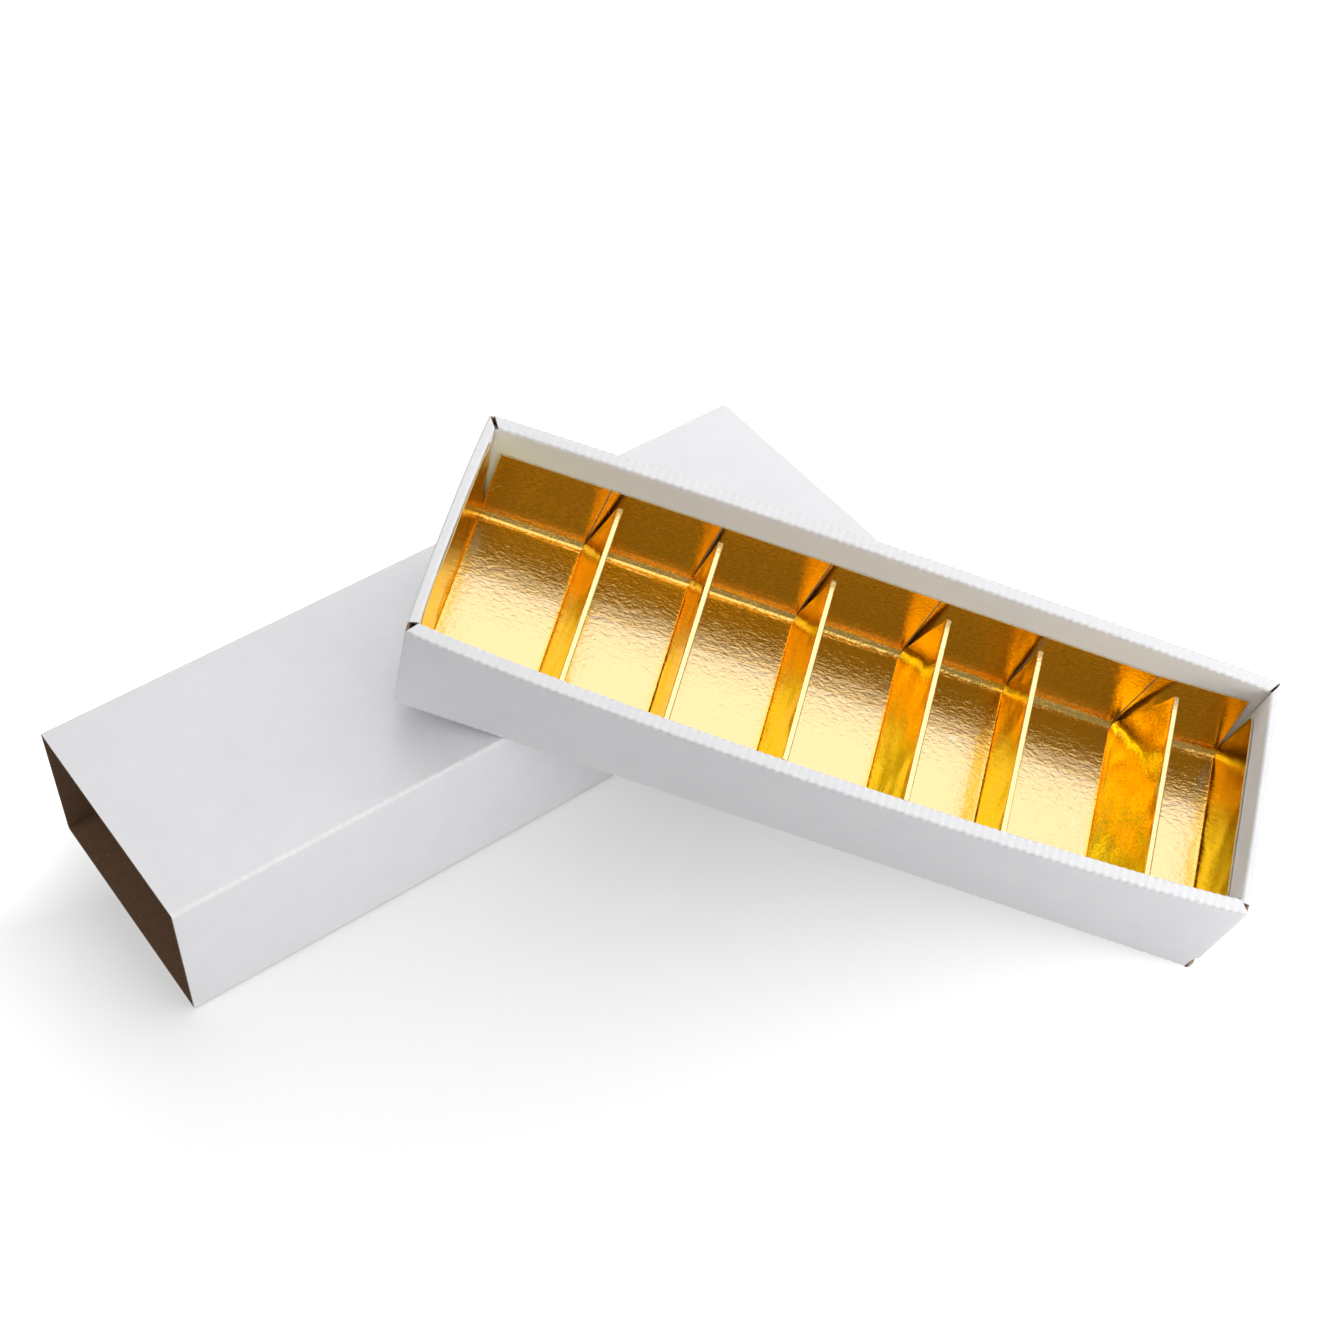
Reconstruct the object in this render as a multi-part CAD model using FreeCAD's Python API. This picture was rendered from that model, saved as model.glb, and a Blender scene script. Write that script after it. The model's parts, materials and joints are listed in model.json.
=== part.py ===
"""A chocolate box in three folded blanks, in millimetres.

A plain open-ended sleeve lies on the table. The tray that slides into it is out, and lies across
the sleeve's near top edge with one bottom corner on the table. A gold card insert, folded from one
strip, divides the tray into compartments. Each panel between two creases is a solid of its own.

Frame: origin at the centre of the sleeve's underside, +X along the sleeve, +Y away from the tray's
table corner, +Z up.
"""
import FreeCAD
import Part
import math
import os

Vector = FreeCAD.Vector

# Tray, outside sizes
tray_length = 220.0
tray_width = 69.5
tray_height = 38.6
tray_board = 1.0
wall_cavity = 2.0
rim_radius = 0.8
tray_crease_radius = 0.8
inner_wall_slit = 0.4
corner_flap_length = 34.0
corner_flap_margin = 1.5
lock_tab_width = 14.0
lock_tab_spacing = 110.0
lock_slot_clearance = 0.15

# Sleeve, made to slide over the tray
sleeve_board = 0.8
sleeve_overhang = 2.0
sleeve_crease_radius = 0.7
slide_clearance = 0.3
glue_flap_width = 14.0
glue_flap_thickness = 0.3
glue_flap_bevel = 6.0

# Insert, folded from gold card
insert_card = 0.4
insert_clearance = 0.2
divider_foot = 2.7
divider_height = 26.2
divider_end_gap = 0.3
divider_end_taper = 2.0
divider_shifts = [0.9, 1.4, 1.4, 1.7, 1.5, 2.4]
divider_leans = [6.8, 3.8, 5.0, 6.6, 2.2, 9.4]
side_flap_height = 27.5
side_flap_lean = 2.7
side_flap_slit = 0.4
side_flap_mitre = 2.3
left_end_flap_height = 34.0
right_end_flap_height = 28.5
end_flap_mitre = 2.0

# How the tray lies across the sleeve
tray_turn = 50.5
corner_run = 141.2
corner_along = 105.0
rest_gap = 0.2

# Sizes that follow from those above
sleeve_length = tray_length + 2 * sleeve_overhang
sleeve_width = tray_width + glue_flap_thickness + slide_clearance + 2 * sleeve_board
sleeve_height = tray_height + slide_clearance + 2 * sleeve_board
wall = 2 * tray_board + wall_cavity
rim_underside = tray_height - tray_board

nodes = {}


def panel(x, y, z):
    """A flat panel between a low and a high limit along each axis."""
    return Part.makeBox(x[1] - x[0], y[1] - y[0], z[1] - z[0], Vector(x[0], y[0], z[0]))


def crease(solid, radius, *middles):
    """The solid with the straight edges that have these middle points rounded."""
    edges = [edge for edge in solid.Edges
             if any(edge.CenterOfMass.isEqual(Vector(*middle), 1e-4) for middle in middles)]
    return solid.makeFillet(radius, edges)


def slab(lower, upper):
    """A six-sided solid on four lower and four upper corners, listed in the same order."""
    low = [Vector(*corner) for corner in lower]
    high = [Vector(*corner) for corner in upper]
    rings = [low, high]
    for here in range(4):
        after = (here + 1) % 4
        rings.append([low[here], low[after], high[after], high[here]])
    faces = [Part.Face(Part.makePolygon(ring + ring[:1])) for ring in rings]
    return Part.makeSolid(Part.makeShell(faces))


def build_sleeve():
    """A tube of four panels, with the bottom panel's glue flap inside the near side."""
    half_length = sleeve_length / 2
    half_width = sleeve_width / 2
    along = (-half_length, half_length)
    across = (-half_width, half_width)
    upright = (sleeve_board, sleeve_height - sleeve_board)

    bottom = panel(along, across, (0, sleeve_board))
    nodes["sleeve_bottom_panel"] = crease(
        bottom, sleeve_crease_radius, (0, -half_width, 0), (0, half_width, 0))
    top = panel(along, across, (upright[1], sleeve_height))
    nodes["sleeve_top_panel"] = crease(
        top, sleeve_crease_radius, (0, -half_width, sleeve_height), (0, half_width, sleeve_height))
    near_inside = -half_width + sleeve_board
    nodes["sleeve_near_side_panel"] = panel(along, (-half_width, near_inside), upright)
    nodes["sleeve_far_side_panel"] = panel(along, (half_width - sleeve_board, half_width), upright)

    flap_inside = near_inside + glue_flap_thickness
    flap_top = sleeve_board + glue_flap_width
    short = half_length - glue_flap_bevel

    def flap_ring(reach, z):
        return [(-reach, near_inside, z), (reach, near_inside, z),
                (reach, flap_inside, z), (-reach, flap_inside, z)]

    nodes["sleeve_glue_flap"] = slab(flap_ring(half_length, sleeve_board), flap_ring(short, flap_top))


def tray_frame():
    """Where the tray lies: on the sleeve's near top crease, one bottom corner on the table."""
    crease_y = sleeve_crease_radius - sleeve_width / 2
    crease_z = sleeve_height - sleeve_crease_radius
    slope = math.atan2(crease_z, corner_run)
    lift = math.asin((sleeve_crease_radius + rest_gap) / math.hypot(crease_z, corner_run))
    tilt = FreeCAD.Rotation(Vector(1, 0, 0), math.degrees(slope + lift))
    turn = FreeCAD.Rotation(Vector(0, 0, 1), -tray_turn)
    facing = tilt.multiply(turn)
    table_corner = Vector(corner_along, crease_y - corner_run, 0)
    origin = table_corner - facing.multVec(Vector(tray_length, 0, 0))
    return FreeCAD.Placement(origin, facing)


def build_tray_base():
    """The floor of the tray, slotted for the lock tabs of the inner walls."""
    base = panel((tray_board, tray_length - tray_board), (tray_board, tray_width - tray_board),
                 (0, tray_board))
    for middle, turned in lock_tab_middles():
        base = base.cut(lock_tab(middle, turned, lock_slot_clearance))
    nodes["tray_base_panel"] = base


def lock_tab_middles():
    """The middle of each lock tab on the tray's floor, and whether it runs across the tray."""
    inner_middle = wall - tray_board / 2
    places = []
    for side in (inner_middle, tray_width - inner_middle):
        for offset in (-lock_tab_spacing / 2, lock_tab_spacing / 2):
            places.append(((tray_length / 2 + offset, side), False))
    for end in (inner_middle, tray_length - inner_middle):
        places.append(((end, tray_width / 2), True))
    return places


def lock_tab(middle, turned, clearance):
    """A tab through the tray's floor, or with a clearance the slot for it."""
    half_width = lock_tab_width / 2 + clearance
    half_board = tray_board / 2 + clearance
    half_x, half_y = (half_board, half_width) if turned else (half_width, half_board)
    x, y = middle
    return panel((x - half_x, x + half_x), (y - half_y, y + half_y), (0, tray_board))


def tabbed(inner_wall):
    """An inner wall with the lock tabs that stand under it."""
    for middle, turned in lock_tab_middles():
        tab = lock_tab(middle, turned, 0)
        if tab.distToShape(inner_wall)[0] < 1e-6:
            inner_wall = inner_wall.fuse(tab).removeSplitter()
    return inner_wall


def build_long_walls():
    """Front and back: an outer wall, a rolled rim and an inner wall that locks into the floor."""
    cavity_end = tray_board + wall_cavity
    for name, outside, inward in (("front", 0.0, 1), ("back", tray_width, -1)):
        def depth(near, far):
            return sorted((outside + inward * near, outside + inward * far))

        outer = panel((0, tray_length), depth(0, tray_board), (0, rim_underside))
        nodes[f"tray_{name}_outer_wall"] = crease(
            outer, tray_crease_radius, (tray_length / 2, outside, 0))

        rim = panel((wall, tray_length - wall), depth(0, wall), (rim_underside, tray_height))
        nodes[f"tray_{name}_rim"] = crease(
            rim, rim_radius, (tray_length / 2, outside, tray_height),
            (tray_length / 2, outside + inward * wall, tray_height))

        inner = panel((cavity_end, tray_length - cavity_end), depth(cavity_end, wall),
                      (tray_board, rim_underside))
        nodes[f"tray_{name}_inner_wall"] = tabbed(inner)


def build_end_walls():
    """Left and right: as the long walls, between them, with a flap at each outer corner."""
    cavity_end = tray_board + wall_cavity
    slack = (wall_cavity - tray_board) / 2
    flap_heights = (tray_board + corner_flap_margin, rim_underside - corner_flap_margin)
    for name, outside, inward in (("left", 0.0, 1), ("right", tray_length, -1)):
        def depth(near, far):
            return sorted((outside + inward * near, outside + inward * far))

        outer = panel(depth(0, tray_board), (tray_board, tray_width - tray_board),
                      (0, rim_underside))
        nodes[f"tray_{name}_outer_wall"] = crease(
            outer, tray_crease_radius, (outside, tray_width / 2, 0))

        rim = panel(depth(0, wall), (wall, tray_width - wall), (rim_underside, tray_height))
        nodes[f"tray_{name}_rim"] = crease(
            rim, rim_radius, (outside, tray_width / 2, tray_height),
            (outside + inward * wall, tray_width / 2, tray_height))

        clear = wall + inner_wall_slit
        inner = panel(depth(cavity_end, wall), (clear, tray_width - clear),
                      (tray_board, rim_underside))
        nodes[f"tray_{name}_inner_wall"] = tabbed(inner)

        flap_x = depth(tray_board, tray_board + corner_flap_length)
        flap_y = (tray_board + slack, 2 * tray_board + slack)
        nodes[f"tray_front_{name}_corner_flap"] = panel(flap_x, flap_y, flap_heights)
        nodes[f"tray_back_{name}_corner_flap"] = panel(
            flap_x, (tray_width - flap_y[1], tray_width - flap_y[0]), flap_heights)


def build_insert():
    """Floors and leaning dividers in one zigzag strip, with flaps up the tray's four walls."""
    low_x = wall + insert_clearance
    high_x = tray_length - low_x
    low_y = low_x
    high_y = tray_width - low_y
    underside = tray_board
    floor_y = (low_y + insert_card, high_y - insert_card)
    floor_x = (low_x + insert_card, high_x - insert_card)
    dividers = len(divider_leans)
    floor_length = (floor_x[1] - floor_x[0] - dividers * divider_foot) / (dividers + 1)
    feet = [floor_x[0] + floor_length + index * (floor_length + divider_foot) + shift
            for index, shift in enumerate(divider_shifts)]
    crests = [foot + lean for foot, lean in zip(feet, divider_leans)]

    # How far each divider face leans for each millimetre of height
    left_slopes = [(crest - insert_card - foot) / divider_height for foot, crest in zip(feet, crests)]
    right_slopes = [(crest + insert_card - foot - divider_foot) / divider_height
                    for foot, crest in zip(feet, crests)]

    starts = [floor_x[0]] + [foot + divider_foot for foot in feet]
    ends = feet + [floor_x[1]]
    for index, (start, end) in enumerate(zip(starts, ends)):
        number = index + 1
        start_top = start + (right_slopes[index - 1] * insert_card if index else 0)
        end_top = end + (left_slopes[index] * insert_card if index < dividers else 0)
        nodes[f"insert_floor_{number}"] = across_slab(
            start, end, start_top, end_top, underside, insert_card, floor_y, floor_y)

        for side, flap_y in (("front", (low_y, floor_y[0])), ("back", (floor_y[1], high_y))):
            first = index == 0
            last = index == dividers
            bottom_start = start if first else ends[index - 1] + side_flap_slit
            top_start = bottom_start + (side_flap_mitre if first else side_flap_lean)
            top_end = end + (-side_flap_mitre if last else side_flap_lean)
            nodes[f"insert_{side}_flap_{number}"] = across_slab(
                bottom_start, end, top_start, top_end, underside, side_flap_height, flap_y, flap_y)

    foot_y = (floor_y[0] + divider_end_gap, floor_y[1] - divider_end_gap)
    crest_y = (foot_y[0] + divider_end_taper, foot_y[1] - divider_end_taper)
    for index, (foot, crest) in enumerate(zip(feet, crests)):
        number = index + 1
        nodes[f"insert_divider_{number}_left_face"] = across_slab(
            foot, foot + insert_card, crest - insert_card, crest,
            underside, divider_height, foot_y, crest_y)
        nodes[f"insert_divider_{number}_right_face"] = across_slab(
            foot + divider_foot - insert_card, foot + divider_foot, crest, crest + insert_card,
            underside, divider_height, foot_y, crest_y)

    mitred_y = (floor_y[0] + end_flap_mitre, floor_y[1] - end_flap_mitre)
    for name, near, far, height in (("left", low_x, floor_x[0], left_end_flap_height),
                                    ("right", floor_x[1], high_x, right_end_flap_height)):
        nodes[f"insert_{name}_end_flap"] = across_slab(
            near, far, near, far, underside, height, floor_y, mitred_y)


def across_slab(low_start, low_end, high_start, high_end, underside, height, low_y, high_y):
    """A panel of the insert, level at its foot and its top, with both given along and across."""
    def ring(start, end, y, z):
        return [(start, y[0], z), (end, y[0], z), (end, y[1], z), (start, y[1], z)]

    return slab(ring(low_start, low_end, low_y, underside),
                ring(high_start, high_end, high_y, underside + height))


build_sleeve()
sleeve_names = set(nodes)
build_tray_base()
build_long_walls()
build_end_walls()
build_insert()

lying = tray_frame()
os.makedirs("parts", exist_ok=True)
for name, shape in nodes.items():
    if name not in sleeve_names:
        shape.Placement = lying
    shape.exportStep(f"parts/{name}.step")
print(len(nodes), "nodes, sleeve", sleeve_length, "x", sleeve_width, "x", sleeve_height)
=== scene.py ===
"""A chocolate box: an open-ended sleeve, the tray that slides into it, and a gold card insert.

Each piece is a blank of board or card, creased and folded, so each is made here as its flat blank,
folded along its crease lines by one Geometry Nodes tree. Sizes are in metres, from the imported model.
"""
import bpy
import json
import math
from mathutils import Matrix, Vector


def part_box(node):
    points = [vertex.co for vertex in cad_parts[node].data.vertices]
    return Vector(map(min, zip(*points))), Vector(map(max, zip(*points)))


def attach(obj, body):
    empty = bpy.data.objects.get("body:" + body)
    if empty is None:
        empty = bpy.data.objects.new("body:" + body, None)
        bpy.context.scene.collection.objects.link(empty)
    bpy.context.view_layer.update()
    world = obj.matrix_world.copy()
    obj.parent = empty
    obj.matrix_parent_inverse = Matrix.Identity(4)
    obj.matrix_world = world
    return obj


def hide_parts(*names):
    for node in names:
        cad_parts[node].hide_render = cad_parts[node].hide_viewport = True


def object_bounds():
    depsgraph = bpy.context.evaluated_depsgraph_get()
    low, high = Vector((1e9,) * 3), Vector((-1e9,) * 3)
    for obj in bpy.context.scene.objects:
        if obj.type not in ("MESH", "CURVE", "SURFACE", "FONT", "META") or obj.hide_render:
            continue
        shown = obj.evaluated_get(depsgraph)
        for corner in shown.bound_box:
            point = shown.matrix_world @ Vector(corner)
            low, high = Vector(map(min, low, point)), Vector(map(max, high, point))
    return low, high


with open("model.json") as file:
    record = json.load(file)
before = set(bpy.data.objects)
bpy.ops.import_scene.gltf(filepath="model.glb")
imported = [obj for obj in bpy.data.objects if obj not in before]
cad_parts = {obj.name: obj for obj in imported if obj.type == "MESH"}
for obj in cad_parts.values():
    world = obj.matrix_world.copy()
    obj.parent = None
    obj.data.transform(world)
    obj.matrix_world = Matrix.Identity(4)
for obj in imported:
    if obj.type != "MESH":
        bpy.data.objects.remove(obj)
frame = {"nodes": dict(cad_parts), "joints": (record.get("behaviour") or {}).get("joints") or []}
cad_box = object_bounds()

# Sleeve: a tube of microflute board, white outside and brown kraft inside, that slides over the tray.
# One blank is creased into four panels and glued along the near side. Both ends are open, and the
# flutes run across the creases, so every crease has a fine ripple.
mm = 0.001
bottom_low, bottom_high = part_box("sleeve_bottom_panel")
sleeve_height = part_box("sleeve_top_panel")[1].z
sleeve_board = bottom_high.z - bottom_low.z
sleeve_crease_radius = 1.0 * mm
sleeve_foot_gap = 0.5 * mm
flute_pitch = 2.25 * mm
sleeve_ripple = 0.03 * mm
crease_steps = 6
gentle_bend = 5 * mm


class Wire:
    """One output in a node tree. Arithmetic on it adds Math nodes to the same tree."""

    def __init__(self, nodes, socket):
        self.nodes = nodes
        self.socket = socket

    def math(self, operation, *values):
        """A Math node on this wire, then on further values."""
        return self.nodes.add("ShaderNodeMath", {"operation": operation}, dict(enumerate((self, *values))))

    def after(self, operation, value):
        """A Math node on a value, then on this wire."""
        return self.nodes.add("ShaderNodeMath", {"operation": operation}, {0: value, 1: self})

    def __add__(self, other):
        return self.math("ADD", other)

    def __radd__(self, other):
        return self.after("ADD", other)

    def __sub__(self, other):
        return self.math("SUBTRACT", other)

    def __rsub__(self, other):
        return self.after("SUBTRACT", other)

    def __mul__(self, other):
        return self.math("MULTIPLY", other)

    def __rmul__(self, other):
        return self.after("MULTIPLY", other)

    def __truediv__(self, other):
        return self.math("DIVIDE", other)

    def __rtruediv__(self, other):
        return self.after("DIVIDE", other)

    def __mod__(self, other):
        return self.math("MODULO", other)

    def __pow__(self, other):
        return self.math("POWER", other)

    def other(self, output):
        """Another output of the same node."""
        return Wire(self.nodes, self.socket.node.outputs[output])

    def ramp(self, low, high):
        """0 at low and 1 at high, with a smooth step between. The two may be swapped."""
        return self.nodes.add("ShaderNodeMapRange", {"interpolation_type": "SMOOTHSTEP"},
                              {"Value": self, "From Min": low, "From Max": high})

    def part(self, axis):
        """One number of a vector."""
        return self.nodes.add("ShaderNodeSeparateXYZ", {}, {"Vector": self}, axis)

    def times(self, factors):
        """A vector times three factors."""
        return self.nodes.add("ShaderNodeVectorMath", {"operation": "MULTIPLY"}, {0: self, 1: factors})

    def scaled(self, factor):
        """A vector times one number."""
        return self.nodes.add("ShaderNodeVectorMath", {"operation": "SCALE"}, {0: self, "Scale": factor})

    def plus(self, vector):
        """The sum of two vectors."""
        return self.nodes.add("ShaderNodeVectorMath", {"operation": "ADD"}, {0: self, 1: vector})

    def length(self):
        """A vector's length."""
        return self.nodes.add("ShaderNodeVectorMath", {"operation": "LENGTH"}, {0: self}, "Value")

    def noise(self, size, detail, roughness=0.5):
        """Noise from 0 to 1 over a vector in metres, with features of this size."""
        return self.nodes.add("ShaderNodeTexNoise", {}, {
            "Vector": self, "Scale": 1 / size, "Detail": detail, "Roughness": roughness})


class Nodes:
    """A node tree under construction."""

    def __init__(self, tree):
        self.tree = tree

    def add(self, kind, settings=None, sockets=None, output=0):
        """A new node with these settings, then these values or wires on its sockets."""
        node = self.tree.nodes.new(kind)
        for name, value in (settings or {}).items():
            setattr(node, name, value)
        self.feed(node, sockets or {})
        return Wire(self, node.outputs[output] if node.outputs else None)

    def feed(self, node, sockets):
        """Values or wires on a node's sockets, by name or number."""
        for name, value in sockets.items():
            if isinstance(value, Wire):
                self.tree.links.new(value.socket, node.inputs[name])
            else:
                node.inputs[name].default_value = value

    def mix(self, share, first, second):
        """A colour between two colours."""
        return self.add("ShaderNodeMix", {"data_type": "RGBA"}, {0: share, 6: first, 7: second}, 2)

    def attribute(self, name, output):
        """An attribute that a piece carries over its surface."""
        return self.add("ShaderNodeAttribute", {"attribute_name": name}, {}, output)

    def object_place(self):
        return self.add("ShaderNodeTexCoord", {}, {}, "Object")

    def bump(self, height, depth):
        return self.add("ShaderNodeBump", {}, {"Height": height, "Distance": depth})


def new_finish(name, **constants):
    """A material, its nodes, and its shader with these constants, named with _ for a space."""
    finish = bpy.data.materials.new(name)
    finish.use_nodes = True
    shader = finish.node_tree.nodes["Principled BSDF"]
    for socket, value in constants.items():
        shader.inputs[socket.replace("_", " ")].default_value = value
    return finish, Nodes(finish.node_tree), shader


def colour(red, green, blue):
    """A colour from linear parts."""
    return (red, green, blue, 1.0)


out_of_reach = 1.0


def white_liner(name, flute_axis=0, flute_show=0.0, rim_top=out_of_reach):
    """Bleached liner: cloudy, with rubbed creases, and the flutes may show through as faint bars.

    It is painted a little grey just below a rim's top, as shade among the crushed flutes there. The sleeve
    has no rim."""
    finish, nodes, shader = new_finish(name, Specular_IOR_Level=0.35)
    blank = nodes.attribute("blank", "Vector")
    crease = nodes.attribute("crease", "Fac")
    place = nodes.object_place()
    flutes = (blank.part(flute_axis) * (2 * math.pi / flute_pitch)).math("COSINE")
    cloud = place.noise(9 * mm, 4, 0.6)
    fibre = place.noise(0.45 * mm, 3, 0.7)
    shade = cloud * 0.5 + fibre * 0.35 + flutes * (0.03 * flute_show)
    body = nodes.mix(shade.ramp(0.15, 0.75), colour(0.83, 0.83, 0.852), colour(0.89, 0.89, 0.907))
    rubbed = crease * place.noise(1.6 * mm, 3, 0.6).ramp(0.45, 0.7) * 0.6
    # Painted shade: the base colour is darkened by up to 12% just below the rim's top.
    rim_painted_shade = blank.part("Z").ramp(rim_top - 1.0 * mm, rim_top - 0.2 * mm)
    nodes.feed(shader, {
        "Base Color": nodes.mix(rubbed, body, colour(0.94, 0.93, 0.93)).scaled(1.0 - rim_painted_shade * 0.12),
        "Roughness": 0.52 + cloud * 0.16,
        "Normal": nodes.bump(flutes * (0.10 * flute_show) + fibre * 0.35 + cloud * 0.6, 0.02 * mm)})
    return finish


def kraft_liner(name):
    """Unbleached liner: brown, streaked along the paper machine's run, with light and dark fibres."""
    finish, nodes, shader = new_finish(name, Specular_IOR_Level=0.25)
    place = nodes.object_place()
    streak = place.times((0.6, 1.0, 1.0)).noise(1.2 * mm, 5, 0.65)
    fleck = place.times((0.3, 1.0, 1.0)).noise(0.5 * mm, 2, 0.5)
    body = nodes.mix(streak.ramp(0.25, 0.75), colour(0.215, 0.122, 0.068), colour(0.255, 0.150, 0.086))
    nodes.feed(shader, {
        "Base Color": nodes.mix(fleck.ramp(0.66, 0.74), body, colour(0.36, 0.24, 0.15)),
        "Roughness": 0.72 + streak * 0.15,
        "Normal": nodes.bump(streak + fleck * 0.5, 0.03 * mm)})
    return finish


def cut_edge(name):
    """A die-cut edge: the white liner, the wavy medium with painted shade for the hollows beside it, and
    the kraft liner.
    """
    finish, nodes, shader = new_finish(name, Specular_IOR_Level=0.2)
    layer = nodes.attribute("layer", "Fac")
    blank = nodes.attribute("blank", "Vector")
    place = nodes.object_place()
    wave = (blank.part(0) * (2 * math.pi / flute_pitch)).math("SINE") * 0.26 + 0.5
    medium = (layer - wave).math("ABSOLUTE").ramp(0.20, 0.12)
    fray = place.noise(0.35 * mm, 3, 0.7)
    # Painted shade: the flute hollows beside the medium are coloured dark brown, for the shade inside them.
    hollow = nodes.mix(medium, colour(0.20, 0.13, 0.085), colour(0.52, 0.40, 0.30))
    kraft = nodes.mix((layer + fray * 0.1).ramp(0.80, 0.86), hollow, colour(0.42, 0.30, 0.21))
    white = (layer + fray * 0.14).ramp(0.34, 0.24)
    nodes.feed(shader, {
        "Base Color": nodes.mix(white, kraft, colour(0.82, 0.80, 0.78)),
        "Roughness": 0.8 + fray * 0.15,
        "Normal": nodes.bump(fray + medium, 0.06 * mm)})
    return finish


def blank_folder():
    """The tree that folds a blank: it sweeps a section along its creases and gives it thickness.

    The fold line is a mesh of points, each with its outward direction, board, crease, slack and run,
    where the blank starts and ends there, and how far it bows out halfway between its corners."""
    tree = bpy.data.node_groups.new("fold_a_blank", "GeometryNodeTree")
    for label, kind in (("Fold line", "Geometry"), ("Rows", "Int"), ("Along", "Vector"),
                        ("Flute pitch", "Float"), ("Ripple depth", "Float"), ("Wave length", "Float"),
                        ("Wave depth", "Float"), ("Seed", "Float"), ("Bow length", "Float"),
                        ("Face", "Material"), ("Back", "Material"), ("Edge", "Material")):
        tree.interface.new_socket(label, in_out="INPUT", socket_type="NodeSocket" + kind)
    tree.interface.new_socket("Piece", in_out="OUTPUT", socket_type="NodeSocketGeometry")
    nodes = Nodes(tree)
    given = nodes.add("NodeGroupInput")
    line, rows, along = given.other("Fold line"), given.other("Rows"), given.other("Along")
    columns = nodes.add("GeometryNodeAttributeDomainSize", {}, {"Geometry": line})
    grid = nodes.add("GeometryNodeMeshGrid", {}, {"Vertices X": rows, "Vertices Y": columns})
    index = nodes.add("GeometryNodeInputIndex")
    column = index % columns
    row_share = (index / columns).math("FLOOR") / (rows - 1)

    def named(name, kind):
        return nodes.add("GeometryNodeInputNamedAttribute", {"data_type": kind}, {"Name": name})

    def on_line(value, kind):
        return nodes.add("GeometryNodeSampleIndex", {"data_type": kind},
                         {"Geometry": line, "Value": value, "Index": column})

    def store(geometry, name, value, kind, **selection):
        return nodes.add("GeometryNodeStoreNamedAttribute", {"data_type": kind},
                         {"Geometry": geometry, "Name": name, "Value": value, **selection})

    spot = on_line(nodes.add("GeometryNodeInputPosition"), "FLOAT_VECTOR")
    outward = on_line(named("outward", "FLOAT_VECTOR"), "FLOAT_VECTOR")
    bow = on_line(named("bow", "FLOAT_VECTOR"), "FLOAT_VECTOR")
    board, crease, slack, run, start, end = (
        on_line(named(name, "FLOAT"), "FLOAT")
        for name in ("board", "crease", "slack", "run", "start", "end"))
    reach = start + row_share * (end - start)
    flat = spot.plus(along.scaled(reach))
    swell = (reach * math.pi / given.other("Bow length")).math("SINE").math("MAXIMUM", 0.0) ** 0.6
    bowed = flat.plus(bow.scaled(swell))
    turns = reach * (2 * math.pi) / given.other("Flute pitch")
    ripple = turns.math("COSINE") * given.other("Ripple depth") * (crease * 0.98 + 0.02)
    wave = nodes.add("ShaderNodeTexNoise", {"noise_dimensions": "4D"}, {
        "Vector": flat, "W": given.other("Seed"), "Scale": 1 / given.other("Wave length"), "Detail": 1.0})
    sag = (wave - 0.5) * 2.0 * slack * given.other("Wave depth")
    skin = nodes.add("GeometryNodeSetPosition", {},
                     {"Geometry": grid, "Position": bowed.plus(outward.scaled(ripple + sag))})
    flat_spot = nodes.add("ShaderNodeCombineXYZ", {}, {0: reach, 1: run, 2: flat.part("Z")})
    skin = store(skin, "blank", flat_spot, "FLOAT_VECTOR")
    skin = store(skin, "crease", crease, "FLOAT")
    skin = store(skin, "inward", outward.scaled(board * -1.0), "FLOAT_VECTOR")

    thick = nodes.add("GeometryNodeExtrudeMesh", {},
                      {"Mesh": skin, "Offset Scale": 0.0, "Individual": False})
    back, edge = thick.other("Top"), thick.other("Side")
    moved = nodes.add("GeometryNodeSetPosition", {},
                      {"Geometry": thick, "Selection": back, "Offset": named("inward", "FLOAT_VECTOR")})
    moved = store(moved, "layer", 1.0, "FLOAT", Selection=back)
    turned = nodes.add("GeometryNodeFlipFaces", {}, {"Mesh": moved})
    whole = nodes.add("GeometryNodeJoinGeometry", {}, {"Geometry": skin})
    nodes.feed(whole.socket.node, {"Geometry": turned})
    whole = nodes.add("GeometryNodeMergeByDistance", {}, {"Geometry": whole, "Distance": 0.001 * mm})
    angle = nodes.add("GeometryNodeInputMeshEdgeAngle")
    whole = nodes.add("GeometryNodeSetShadeSmooth", {"domain": "EDGE"}, {
        "Geometry": whole, "Selection": angle.math("GREATER_THAN", math.radians(40)),
        "Shade Smooth": False})
    whole = nodes.add("GeometryNodeRemoveAttribute", {}, {"Geometry": whole, "Name": "inward"})
    whole = nodes.add("GeometryNodeRealizeInstances", {}, {"Geometry": whole})
    for label, selection in (("Face", True), ("Back", back), ("Edge", edge)):
        whole = nodes.add("GeometryNodeSetMaterial", {}, {
            "Geometry": whole, "Selection": selection, "Material": given.other(label)})
    nodes.add("NodeGroupOutput", {}, {"Piece": whole})
    return tree


fold_tree = blank_folder()
fold_input = {item.name: item.identifier for item in fold_tree.interface.items_tree}


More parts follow.
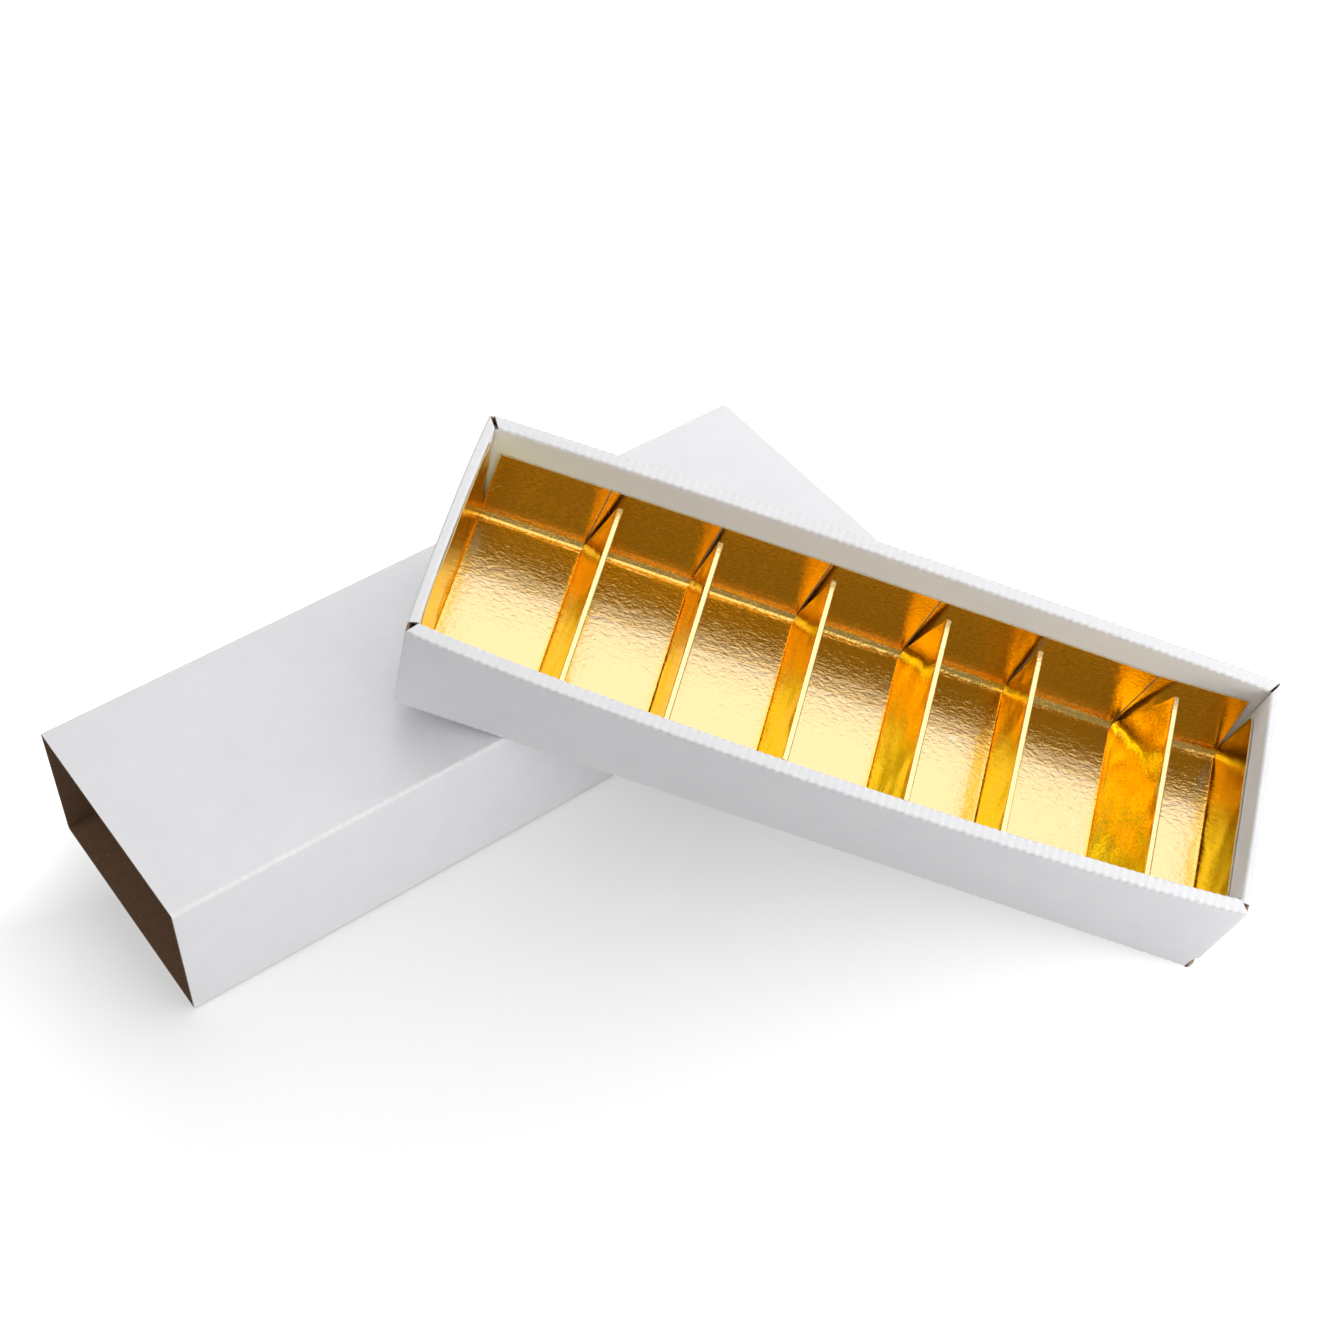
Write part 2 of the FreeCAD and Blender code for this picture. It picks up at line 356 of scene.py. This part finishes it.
def fold_line(corners, spacing, face=1):
    """Points along a section: (place, outward, crease) from corners of (across, up, crease radius).

    The face lies to the right of the path where face is 1 and to the left where it is -1. Flat
    stretches get a point close to each crease, to keep them flat, and others about a spacing apart."""
    points = []
    spots = [Vector((across, up)) for across, up, radius in corners]
    sides = [later - sooner for sooner, later in zip(spots, spots[1:])]
    for index, (across, up, radius) in enumerate(corners):
        away = sides[min(index, len(sides) - 1)]
        into = sides[max(index, 1) - 1]
        turn = math.atan2(into.cross(away), into.dot(away)) if radius else 0.0
        into = into.normalized()
        side = math.copysign(radius, turn)
        begin = spots[index] - into * radius * math.tan(abs(turn) / 2)
        centre = begin + Vector((-into.y, into.x)) * side
        for step in range(crease_steps + 1 if radius else 1):
            heading = Matrix.Rotation(turn * step / crease_steps, 2) @ into
            place = centre - Vector((-heading.y, heading.x)) * side
            creased = 1.0 if 0 < radius < gentle_bend else 0.0
            points.append((place, Vector((heading.y, -heading.x)) * face, creased))

    guard = 0.5 * mm
    filled = points[:1]
    for before, after in zip(points, points[1:]):
        gap = after[0] - before[0]
        flat = gap.length - 6 * guard
        stops = []
        if gap.length > 3 * guard:
            stops = [(guard, before[2] / 4), (gap.length - guard, after[2] / 4)]
        if flat > 0:
            pieces = max(1, round(flat / spacing))
            stops[1:1] = [(3 * guard + flat * step / pieces, 0.0) for step in range(pieces + 1)]
        filled += [(before[0] + gap.normalized() * travel, before[1], near) for travel, near in stops]
        filled.append(after)
    return filled


def folded(name, points, along, extent, rows, board, finishes, crush=0.6, ripple=0.0,
           wave=(10 * mm, 0.0), slack=None, seed=0.0, bow=None, bow_length=1.0, place=Matrix()):
    """A piece folded from a blank of this board. It runs along X or Y, and extent gives its start and
    end there for each place on the section; crush is the share of the board that a crease keeps."""
    axis = Vector((1, 0, 0)) if along == "X" else Vector((0, 1, 0))
    level = Vector((0, 1, 0)) if along == "X" else Vector((1, 0, 0))
    upright = Vector((0, 0, 1))

    def lifted(flat):
        return level * flat.x + upright * flat.y

    run = 0.0
    stations = []
    for index, (spot, outward, crease) in enumerate(points):
        run += (spot - points[max(index - 1, 0)][0]).length
        start, end = extent(spot.x, spot.y)
        stations.append({
            "place": lifted(spot), "outward": lifted(outward), "crease": crease, "run": run,
            "board": board * (1 - (1 - crush) * crease), "start": start, "end": end,
            "bow": bow(spot.x, spot.y) if bow else Vector(),
            "slack": slack(spot.x, spot.y) * (1 - crease) if slack else 0.0})
    heading = stations[1]["place"] - stations[0]["place"]
    if axis.cross(heading).dot(stations[0]["outward"]) < 0:
        stations.reverse()

    line = bpy.data.meshes.new(name + "_line")
    line.from_pydata([station["place"] for station in stations],
                     [(index, index + 1) for index in range(len(stations) - 1)], [])
    for label in ("outward", "bow"):
        vectors = line.attributes.new(label, "FLOAT_VECTOR", "POINT")
        vectors.data.foreach_set("vector", [part for station in stations for part in station[label]])
    for label in ("crease", "run", "board", "start", "end", "slack"):
        values = line.attributes.new(label, "FLOAT", "POINT")
        values.data.foreach_set("value", [station[label] for station in stations])

    folding = bpy.data.objects.new(name + "_line", line)
    bpy.context.scene.collection.objects.link(folding)
    modifier = folding.modifiers.new("fold", "NODES")
    modifier.node_group = fold_tree
    face, back, edge = finishes
    for label, value in (("Rows", rows), ("Along", axis), ("Flute pitch", flute_pitch),
                         ("Ripple depth", ripple), ("Wave length", wave[0]), ("Wave depth", wave[1]),
                         ("Seed", seed), ("Bow length", bow_length), ("Face", face), ("Back", back),
                         ("Edge", edge)):
        modifier[fold_input[label]] = value
    graph = bpy.context.evaluated_depsgraph_get()
    mesh = bpy.data.meshes.new_from_object(
        folding.evaluated_get(graph), preserve_all_data_layers=True, depsgraph=graph)
    mesh.transform(place)
    mesh.name = name
    bpy.data.objects.remove(folding)
    bpy.data.meshes.remove(line)
    piece = bpy.data.objects.new(name, mesh)
    bpy.context.scene.collection.objects.link(piece)
    return piece


sleeve_finishes = (white_liner("sleeve_white_liner"), kraft_liner("sleeve_kraft"),
                   cut_edge("sleeve_cut_edge"))
sleeve_ends = (bottom_low.x, bottom_high.x)
rows_per_flute = 4
panel_spacing = 12 * mm


def flute_rows(length):
    """Rows of points that follow each flute over a length."""
    return round(length / flute_pitch * rows_per_flute)


sleeve_wrap = folded(
    "sleeve_wrap",
    fold_line([(bottom_low.y + sleeve_board, bottom_low.z, 0),
               (bottom_high.y, bottom_low.z, sleeve_crease_radius),
               (bottom_high.y, sleeve_height, sleeve_crease_radius),
               (bottom_low.y, sleeve_height, sleeve_crease_radius),
               (bottom_low.y, bottom_low.z + sleeve_foot_gap, 0)], panel_spacing),
    "X", lambda across, up: sleeve_ends, flute_rows(sleeve_ends[1] - sleeve_ends[0]), sleeve_board,
    sleeve_finishes, ripple=sleeve_ripple)
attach(sleeve_wrap, "sleeve")
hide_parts("sleeve_bottom_panel", "sleeve_top_panel", "sleeve_near_side_panel",
            "sleeve_far_side_panel")

# Glue flap: the bottom panel's last strip, pressed thin and glued up inside the near side. Its ends
# are cut on a bevel, so that the tray doesn't catch on them.
flap_low, flap_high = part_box("sleeve_glue_flap")
flap_corners = [vertex.co for vertex in frame["nodes"]["sleeve_glue_flap"].data.vertices]
flap_top_end = max(corner.x for corner in flap_corners if corner.z > flap_high.z - 0.1 * mm)


def glue_flap_extent(across, up):
    share = (up - flap_low.z) / (flap_high.z - flap_low.z)
    end = flap_high.x + share * (flap_top_end - flap_high.x)
    return -end, end


glue_flap = folded(
    "sleeve_glue_flap", fold_line([(flap_low.y, flap_low.z, 0), (flap_low.y, flap_high.z, 0)], 5 * mm, -1),
    "X", glue_flap_extent, flute_rows(2 * flap_high.x), flap_high.y - flap_low.y, sleeve_finishes)
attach(glue_flap, "sleeve")
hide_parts("sleeve_glue_flap")

# Tray floor and long walls: one strip of the same board. Each long wall rolls over at the rim and
# comes down inside as a second wall, so the white liner shows on both faces. The flutes cross the
# rims, which are rippled. At the corners the rims are cut on the mitre and show the brown inside.
insert_lift = next(joint for joint in frame["joints"] if joint["name"] == "insert_lift")
tray_up = Vector(insert_lift["axis"]).normalized()


def middle(node):
    low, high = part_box(node)
    return (low + high) / 2


tray_along = (middle("tray_front_right_corner_flap") - middle("tray_front_left_corner_flap")).normalized()
tray_across = tray_up.cross(tray_along)
tray_axes = (tray_along, tray_across, tray_up)


def world_span(node, axis):
    """A node's least and greatest reach along one of the tray's axes, from the frame's origin."""
    reaches = [tray_axes[axis].dot(vertex.co) for vertex in frame["nodes"][node].data.vertices]
    return min(reaches), max(reaches)


tray_origin = sum((tray_axes[axis] * world_span(node, axis)[0] for axis, node in enumerate(
    ("tray_left_outer_wall", "tray_front_outer_wall", "tray_base_panel"))), Vector())
tray_place = Matrix(tray_axes).transposed().to_4x4()
tray_place.translation = tray_origin


def span(node, axis):
    """A node's least and greatest reach along one of the tray's axes, from the tray's own corner."""
    start = tray_axes[axis].dot(tray_origin)
    low, high = world_span(node, axis)
    return low - start, high - start


tray_length = span("tray_right_outer_wall", 0)[1]
tray_width = span("tray_back_outer_wall", 1)[1]
tray_height = span("tray_front_rim", 2)[1]
tray_board = span("tray_base_panel", 2)[1]
wall = span("tray_front_rim", 1)[1]
inner_wall_start = span("tray_front_inner_wall", 0)[0]
rim_radius = 0.7 * mm
base_crease_radius = 1.3 * mm
tray_ripple = 0.08 * mm
base_inset = 2.0 * mm
end_rims = {"left": wall - 1.2 * mm, "right": wall - 1.5 * mm}
relief_runs = {"left": 0.0, "right": 1.2 * mm}
relief_height = 8.0 * mm
relief_full = 5.0 * mm
front_bow = 4.4 * mm
back_bow = 1.4 * mm
bow_growth = 1.2
tray_flute_show = 0.2
tray_finishes = (white_liner("tray_white_liner", 0, tray_flute_show, tray_height),
                 kraft_liner("tray_kraft"), cut_edge("tray_cut_edge"))

# How far the cut of each long rim lies from the tray's end, at its outer and inner edge
rim_cuts = {("front", "left"): (0.2 * mm, 2.8 * mm), ("front", "right"): (0.2 * mm, 2.6 * mm),
            ("back", "left"): (1.1 * mm, end_rims["left"] + 0.7 * mm),
            ("back", "right"): (0.1 * mm, end_rims["right"] + 0.2 * mm)}


def long_strip_extent(across, up):
    face = "front" if across < tray_width / 2 else "back"
    depth = min(across, tray_width - across)

    def cut(side):
        if up < 0.01 * mm and depth > base_crease_radius + 0.1 * mm:
            return base_inset
        if depth < 0.6 * wall and up < relief_height:
            return relief_runs[side] * min(1.0, (relief_height - up) / (relief_height - relief_full))
        if up > tray_height - rim_radius - 0.1 * mm:
            outer, inner = rim_cuts[face, side]
            return outer + (inner - outer) * depth / wall
        return 0.0 if depth < 0.5 * wall else inner_wall_start - wall + end_rims[side]

    return cut("left"), tray_length - cut("right")


def bow_share(up):
    """The share of its bow that a wall has at a height: none at the floor, all of it at the rim."""
    return max(0.0, up / tray_height) ** bow_growth


def long_wall_bow(across, up):
    """The hollow long walls belly out between the corners, most at the rim."""
    return Vector((0, (-front_bow if across < tray_width / 2 else back_bow) * bow_share(up), 0))


long_strip = folded(
    "tray_floor_and_long_walls",
    fold_line([(wall, tray_board, 0), (wall, tray_height, rim_radius), (0, tray_height, rim_radius),
               (0, relief_height, 0), (0, relief_full, 0), (0, 0, base_crease_radius),
               (tray_width, 0, base_crease_radius), (tray_width, relief_full, 0),
               (tray_width, relief_height, 0), (tray_width, tray_height, rim_radius),
               (tray_width - wall, tray_height, rim_radius), (tray_width - wall, tray_board, 0)],
              panel_spacing),
    "X", long_strip_extent, flute_rows(tray_length), tray_board, tray_finishes,
    ripple=tray_ripple, bow=long_wall_bow, bow_length=tray_length, place=tray_place)
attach(long_strip, "tray")
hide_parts("tray_base_panel", *(
    f"tray_{side}_{layer}" for side in ("front", "back") for layer in ("outer_wall", "rim", "inner_wall")))

# Tray end walls: the floor's end panels, folded up between the long walls and rolled over in the same
# way. The flutes run along these rims, so they are smooth. Flaps at their sides lie hidden in the long
# walls. The right end's lower corners are notched, and its cut edges stand in the notches.
end_wall_gap = 0.05 * mm
end_wall_bows = {"left": -0.9 * mm, "right": 0.5 * mm}
end_wall_rows = 40
end_spacing = 6 * mm
inner_end_start = span("tray_left_inner_wall", 1)[0]
end_finishes = (white_liner("tray_end_white_liner", 1, tray_flute_show, tray_height), *tray_finishes[1:])

# How far the cut of each end rim lies from the tray's front or back, at its outer and inner edge
end_rim_cuts = {("left", "front"): (2.5 * mm, 3.4 * mm), ("left", "back"): (0.3 * mm, wall),
                ("right", "front"): (2.4 * mm, 2.4 * mm), ("right", "back"): (0.5 * mm, wall + 0.5 * mm)}

for side, outside, inward in (("left", 0.0, 1), ("right", tray_length, -1)):
    end_rim = end_rims[side]

    def end_wall_extent(across, up):
        depth = abs(across - outside)

        def cut(face):
            if up > tray_height - rim_radius - 0.1 * mm:
                outer, inner = end_rim_cuts[side, face]
                return outer + (inner - outer) * depth / end_rim
            if depth < 0.5 * end_rim:
                in_notch = side == "right" and up < relief_full - 0.5 * mm
                return end_wall_gap if in_notch else tray_board + end_wall_gap
            return inner_end_start

        return cut("front"), tray_width - cut("back")

    def end_wall_bow(across, up):
        return Vector((end_wall_bows[side] * bow_share(up), 0, 0))

    end_wall = folded(
        f"tray_{side}_end_wall",
        fold_line([(outside + inward * base_inset, 0, 0), (outside, 0, base_crease_radius),
                   (outside, relief_full - mm, 0), (outside, relief_full, 0),
                   (outside, tray_height, rim_radius),
                   (outside + inward * end_rim, tray_height, rim_radius),
                   (outside + inward * end_rim, tray_board, 0)], end_spacing, -inward),
        "Y", end_wall_extent, end_wall_rows, tray_board, end_finishes, bow=end_wall_bow,
        bow_length=tray_width, place=tray_place)
    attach(end_wall, "tray")
    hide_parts(*(f"tray_{side}_{layer}" for layer in ("outer_wall", "rim", "inner_wall")))
    for face, outward in (("front", -1), ("back", 1)):
        node = f"tray_{face}_{side}_corner_flap"
        flap_along, flap_across, flap_up = (span(node, axis) for axis in range(3))
        flap_outside = flap_across[0] if face == "front" else flap_across[1]
        corner_flap = folded(
            node,
            fold_line([(flap_outside, flap_up[0], 0), (flap_outside, flap_up[1], 0)], end_spacing, outward),
            "X", lambda across, up: flap_along, flute_rows(flap_along[1] - flap_along[0]), tray_board,
            tray_finishes, bow=long_wall_bow, bow_length=tray_length, place=tray_place)
        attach(corner_flap, "tray")
        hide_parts(node)

# Insert strip: thin card faced with gold-lacquered foil, in one long strip. It lies on the tray's
# floor, rises into six narrow dividers that lean to the right, and turns up at both end walls. The
# last floor lies a little higher at the right end.
card = span("insert_floor_1", 2)[1] - span("insert_floor_1", 2)[0]
floor_top = span("insert_floor_1", 2)[1]
floor_across = span("insert_floor_1", 1)
end_room = {side: wall - end_rims[side] for side in end_rims}
dividers = 6
last_floor = f"insert_floor_{dividers + 1}"
floor_along = (span("insert_floor_1", 0)[0] - end_room["left"],
               span(last_floor, 0)[1] + end_room["right"])
last_floor_lift = 3.0 * mm
left_flap_rise = 2.5 * mm
end_flap_tops = (span("insert_left_end_flap", 2)[1] + left_flap_rise,
                 span("insert_right_end_flap", 2)[1] - last_floor_lift)
crest_top = span("insert_divider_1_left_face", 2)[1]
fold_radius = 0.55 * mm
side_fold_radius = 3.0 * mm
crest_width = 1.6 * mm
crest_radius = 0.4 * mm
divider_end_gap = 0.9 * mm
side_flap_bend = 0.9 * mm
side_flap_bend_height = 6 * mm
divider_tapers = (0.4 * mm, 2.0 * mm)
end_flap_mitre = 2.0 * mm
end_flap_corner = 3.0 * mm
card_crush = 0.8
card_spacing = 1.6 * mm
strip_rows = 56
strip_wave = (15 * mm, 0.8 * mm)
strip_seed = 3.0


def gold_foil(name, grain, raised_painted_tint):
    """Foil on card, lacquered gold: a soft mirror with fine crinkles, cracked along its folds. Its colour
    also holds painted light: paler floors, a raised tint, deeper folds and pale crests.
    """
    finish, nodes, shader = new_finish(name, Metallic=1.0, Specular_Tint=colour(1.0, 0.75, 0.30),
                                       Coat_Roughness=0.06, Coat_IOR=2.0)
    blank = nodes.attribute("blank", "Vector")
    grained = blank.times(grain)
    raised = blank.part("Z").ramp(floor_top, floor_top + 1.5 * mm)
    crease = nodes.attribute("crease", "Fac")
    crest = crease * blank.part("Z").ramp(crest_top - 1.2 * mm, crest_top - 0.6 * mm)
    place = nodes.object_place()
    peel = grained.noise(0.7 * mm, 3, 0.55)
    crinkle = grained.noise(1.4 * mm, 3, 0.55) * (1.0 - raised * 0.75)
    buckle = crease * (0.4 + place.noise(1.3 * mm, 2, 0.5))
    scratch = (place.noise(16 * mm, 1) - 0.5).math("ABSOLUTE").ramp(0.004, 0.001)
    scratch = scratch * place.noise(11 * mm, 1).ramp(0.70, 0.74)
    crack = crease * place.noise(0.6 * mm, 3, 0.6).ramp(0.56, 0.64)
    # Painted light: the one foil is paler gold on the floors, for highlights washed out toward cream, and
    # takes the raised tint where it rises.
    body = nodes.mix(raised, colour(0.80, 0.54, 0.21), raised_painted_tint)
    # Painted light: a deeper amber at the folds, for the glow where the foil turns into itself.
    body = nodes.mix(crease, body, colour(0.92, 0.58, 0.15))
    body = body.scaled(1.0 - peel.ramp(0.7, 0.3) * (0.05 + raised * 0.2))
    # Painted highlight: a pale cream line along each divider's crest, where its rounded ridge catches the
    # light.
    body = nodes.mix(crest, body, colour(0.95, 0.72, 0.34))
    worn = nodes.mix(crack * 0.6, body, colour(0.85, 0.62, 0.16))
    nodes.feed(shader, {
        "Base Color": nodes.mix(scratch, worn, colour(0.95, 0.86, 0.62)),
        "Coat Weight": 1.0 - raised.math("MAXIMUM", crease),
        "Roughness": 0.12 + peel * 0.06 + scratch * 0.2 + crack * 0.2,
        "Normal": nodes.bump(peel * 0.7 + crinkle * 2.2 + buckle * 0.8, 0.06 * mm)})
    return finish


def plain_card(name, dark, pale):
    """Card without foil: grey-white behind the foil, and browner at its cut edges."""
    finish, nodes, shader = new_finish(name, Specular_IOR_Level=0.3)
    place = nodes.object_place()
    fibre = place.noise(0.8 * mm, 4, 0.65)
    nodes.feed(shader, {
        "Base Color": nodes.mix(fibre.ramp(0.3, 0.7), dark, pale),
        "Roughness": 0.6 + fibre * 0.2,
        "Normal": nodes.bump(fibre, 0.02 * mm)})
    return finish


card_back = plain_card("card_back", colour(0.74, 0.70, 0.62), colour(0.86, 0.82, 0.74))
card_edge = plain_card("card_edge", colour(0.50, 0.36, 0.16), colour(0.68, 0.52, 0.27))
# Painted light: the dividers and end flaps take a bright yellow gold, the side flaps below a deep amber,
# though the foil is the same.
strip_foil = gold_foil("gold_foil_strip", (1.0, 0.55, 0.0), colour(1.0, 0.92, 0.12))

strip_corners = [(floor_along[0], end_flap_tops[0], 0), (floor_along[0], floor_top, fold_radius)]
for number in range(1, dividers + 1):
    left_foot, crest = span(f"insert_divider_{number}_left_face", 0)
    right_foot = span(f"insert_floor_{number + 1}", 0)[0]
    strip_corners += [(left_foot, floor_top, fold_radius),
                      (crest - crest_width / 2, crest_top, crest_radius),
                      (crest + crest_width / 2, crest_top, crest_radius),
                      (right_foot, floor_top, fold_radius)]
strip_corners += [(floor_along[1], floor_top, fold_radius), (floor_along[1], end_flap_tops[1], 0)]


def at_left_end(across):
    return across < floor_along[0] + mm


def at_right_end(across):
    return across > floor_along[1] - mm


def strip_extent(across, up):
    """The floors leave room for the side flaps' folds, the dividers taper and the end flaps are mitred."""
    rise = up - floor_top
    inset = side_flap_bend + side_fold_radius
    if rise > 0.02 * mm:
        if not at_left_end(across) and not at_right_end(across):
            share = rise / (crest_top - floor_top)
            front, back = (divider_end_gap + taper * share for taper in divider_tapers)
            return floor_across[0] + front, floor_across[1] - back
        flap_top = end_flap_tops[0] if at_left_end(across) else end_flap_tops[1]
        inset = end_flap_mitre * rise / (flap_top - floor_top)
        rounded = max(0.0, up - flap_top + end_flap_corner)
        inset += end_flap_corner - math.sqrt(max(0.0, end_flap_corner ** 2 - rounded ** 2))
    return floor_across[0] + inset, floor_across[1] - inset


def strip_slack(across, up):
    """The dividers and the left end flap are wavy, the right end flap less so, and the floors hardly."""
    if at_right_end(across):
        return 0.35
    return 1.0 if up > floor_top + 2 * mm else 0.12


def strip_bow(across, up):
    """The left end flap follows the wall behind it."""
    lean = end_wall_bows["left"] * bow_share(up)
    return Vector((lean if at_left_end(across) else 0.0, 0, 0))


def lift_last_floor(piece):
    """The last floor climbs towards the right end wall, with the flaps that are folded up from it."""
    start = span(last_floor, 0)[0]
    climb = tray_place.to_3x3() @ Vector((0, 0, last_floor_lift / (floor_along[1] - start)))
    to_tray = tray_place.inverted()
    for vertex in piece.data.vertices:
        spot = to_tray @ vertex.co
        above_floor = spot.z > floor_top + mm and spot.x < floor_along[1] - 2 * mm
        in_divider = piece == insert_strip and above_floor
        if spot.x > start and not in_divider:
            vertex.co += climb * (spot.x - start)


insert_strip = folded(
    "insert_strip", fold_line(strip_corners, card_spacing, -1), "Y", strip_extent, strip_rows, card,
    (strip_foil, card_back, card_edge), crush=card_crush, wave=strip_wave, slack=strip_slack,
    seed=strip_seed, bow=strip_bow, bow_length=tray_width, place=tray_place)
lift_last_floor(insert_strip)
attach(insert_strip, "insert")
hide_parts("insert_left_end_flap", "insert_right_end_flap",
            *(f"insert_floor_{number}" for number in range(1, dividers + 2)),
            *(f"insert_divider_{number}_{face}_face" for number in range(1, dividers + 1)
              for face in ("left", "right")))

# Side flaps: each compartment floor turns up at the front and back in a flap that stands against the
# tray's wall. Slits part them at the dividers, and they lean a little to the right.
side_flap_top = span("insert_front_flap_1", 2)[1]
side_flap_curve = 25 * mm
side_flap_rows = 28
side_flap_wave = (14 * mm, 0.1 * mm)
# Painted light: the side flaps' raised tint is a deep amber, darker than the dividers' gold of the same
# foil.
flap_foil = gold_foil("gold_foil_flap", (0.5, 1.0, 0.0), colour(0.95, 0.53, 0.05))
fold_overlap = 1.01
for side, edge, outwards in (("front", floor_across[0], -1), ("back", floor_across[1], 1)):
    for number in range(1, dividers + 2):
        node = frame["nodes"][f"insert_{side}_flap_{number}"]
        corners = [tray_place.inverted() @ vertex.co for vertex in node.data.vertices]
        foot = [corner.x for corner in corners if corner.z < floor_top]
        head = [corner.x for corner in corners if corner.z > side_flap_top - 0.1 * mm]

        def flap_extent(across, up):
            share = max(0.0, up - floor_top) / (side_flap_top - floor_top)
            start = min(foot) + share * (min(head) - min(foot))
            end = max(foot) + share * (max(head) - max(foot))
            return (start - (end_room["left"] if number == 1 else 0.0),
                    end + (end_room["right"] if number == dividers + 1 else 0.0))

        side_flap = folded(
            f"insert_{side}_flap_{number}",
            fold_line([(edge - outwards * (side_flap_bend + side_fold_radius) * fold_overlap, floor_top, 0),
                       (edge - outwards * side_flap_bend, floor_top, side_fold_radius),
                       (edge, floor_top + side_flap_bend_height, side_flap_curve),
                       (edge, side_flap_top, 0)], card_spacing, -outwards),
            "X", flap_extent, side_flap_rows, card, (flap_foil, card_back, card_edge), crush=card_crush,
            wave=side_flap_wave, slack=lambda across, up: 1.0, seed=number + 0.37 * outwards,
            bow=long_wall_bow, bow_length=tray_length, place=tray_place)
        if number == dividers + 1:
            lift_last_floor(side_flap)
        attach(side_flap, "insert")
        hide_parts(f"insert_{side}_flap_{number}")

# Studio: a grey floor that runs out of view and shows white, with painted light, to camera and glossy rays,
# under a dim ceiling and with a paler room to the right.
# One wide soft light hangs overhead, behind the box; two weaker ones stand in front and to the left.
floor_finish, floor_nodes, floor_shader = new_finish(
    "studio_floor", Base_Color=colour(0.62, 0.62, 0.62), Roughness=0.9, Specular_IOR_Level=0.0,
    Emission_Strength=1.0)
# Painted light: to camera and glossy rays the floor glows, a third of white near the box, rising to full
# white further out, behind the sleeve and left of its mouth, which lifts the floor's shadows there.
near_painted_glow = 0.33
spot = floor_nodes.object_place()
away = spot.length().ramp(0.04, 0.40).math("MAXIMUM", spot.part("Y").ramp(-0.01, 0.06))
away = away.math("MAXIMUM", spot.part("X").ramp(-0.06, -0.30))
ray = floor_nodes.add("ShaderNodeLightPath", {}, {}, "Is Camera Ray")
seen = ray.math("MAXIMUM", ray.other("Is Glossy Ray")).math("MAXIMUM", ray.other("Is Transmission Ray"))
painted_floor_glow = seen * (near_painted_glow + away * (1 - near_painted_glow))
floor_nodes.feed(floor_shader, {
    "Emission Color": floor_nodes.mix(painted_floor_glow, colour(0.0, 0.0, 0.0), colour(1.0, 1.0, 1.0))})
floor_mesh = bpy.data.meshes.new("studio_floor")
floor_reach = 12.0
floor_drop = 0.05 * mm
floor_mesh.from_pydata([(x * floor_reach, y * floor_reach, cad_box[0].z - floor_drop)
                        for x, y in ((-1, -1), (1, -1), (1, 1), (-1, 1))], [], [(0, 1, 2, 3)])
floor_mesh.materials.append(floor_finish)
floor = bpy.data.objects.new("studio_floor", floor_mesh)
bpy.context.scene.collection.objects.link(floor)


def soft_light(name, place, aim, width, depth, radiance):
    """A flat panel light that is as bright as a surface of this radiance."""
    lamp = bpy.data.lights.new(name, "AREA")
    lamp.shape = "RECTANGLE"
    lamp.size = width
    lamp.size_y = depth
    lamp.energy = radiance * math.pi * width * depth
    light = bpy.data.objects.new(name, lamp)
    light.location = place
    light.rotation_euler = (Vector(aim) - Vector(place)).to_track_quat("-Z", "Y").to_euler()
    light.visible_camera = False
    bpy.context.scene.collection.objects.link(light)


soft_light("overhead_light", (0.325, 0.125, 0.52), (0.325, 0.125, 0.0), 0.85, 0.85, 1.27)
soft_light("front_light", (0.22, -0.45, 0.12), (0.03, -0.05, 0.05), 0.55, 0.22, 3.4)
soft_light("left_light", (-0.67, -0.17, 0.73), (0.03, 0.0, 0.05), 0.6, 0.6, 1.3)

world = bpy.data.worlds.new("studio")
bpy.context.scene.world = world
world.use_nodes = True
world_nodes = Nodes(world.node_tree)
background = world.node_tree.nodes["Background"]
background.inputs["Color"].default_value = colour(1.0, 1.0, 1.0)
ceiling_light = 0.32
left_wall_light = 0.06
right_wall_light = 0.7
direction = world_nodes.add("ShaderNodeTexCoord", {}, {}, "Generated")
rightward = (direction.part("X") * 0.75 - direction.part("Y") * 0.66).ramp(-0.3, 0.7)
wall_light = left_wall_light + rightward * (right_wall_light - left_wall_light)
room_light = ceiling_light + direction.part("Z").ramp(0.50, 0.15) * (wall_light - ceiling_light)
seen_directly = world_nodes.add("ShaderNodeLightPath", {}, {}, "Is Camera Ray")
world_nodes.feed(background, {"Strength": room_light + seen_directly * (1.0 - room_light)})

# Camera: where the photographer stood, above and to the left of the sleeve's mouth. Its place, its turn
# and its focal length come from a fit of the box's corners.
camera_place = Vector((-205.47, -344.95, 474.14)) * mm
camera_yaw, camera_pitch, camera_roll = (math.radians(angle) for angle in (38.155, 48.176, 2.076))
image_width = 1333
focal_pixels = 2163.98
ahead = Vector((math.sin(camera_yaw) * math.cos(camera_pitch),
                math.cos(camera_yaw) * math.cos(camera_pitch), -math.sin(camera_pitch)))
level_right = Vector((math.cos(camera_yaw), -math.sin(camera_yaw), 0))
level_up = level_right.cross(ahead)
right = level_right * math.cos(camera_roll) + level_up * math.sin(camera_roll)
camera_data = bpy.data.cameras.new("camera")
camera_data.sensor_width = 36.0
camera_data.lens = camera_data.sensor_width * focal_pixels / image_width
camera_data.clip_start = 0.01
camera = bpy.data.objects.new("camera", camera_data)
camera.matrix_world = Matrix.LocRotScale(
    camera_place, Matrix((right, right.cross(ahead), -ahead)).transposed(), None)
bpy.context.scene.collection.objects.link(camera)
bpy.context.scene.camera = camera
bpy.context.scene.view_settings.view_transform = "Standard"
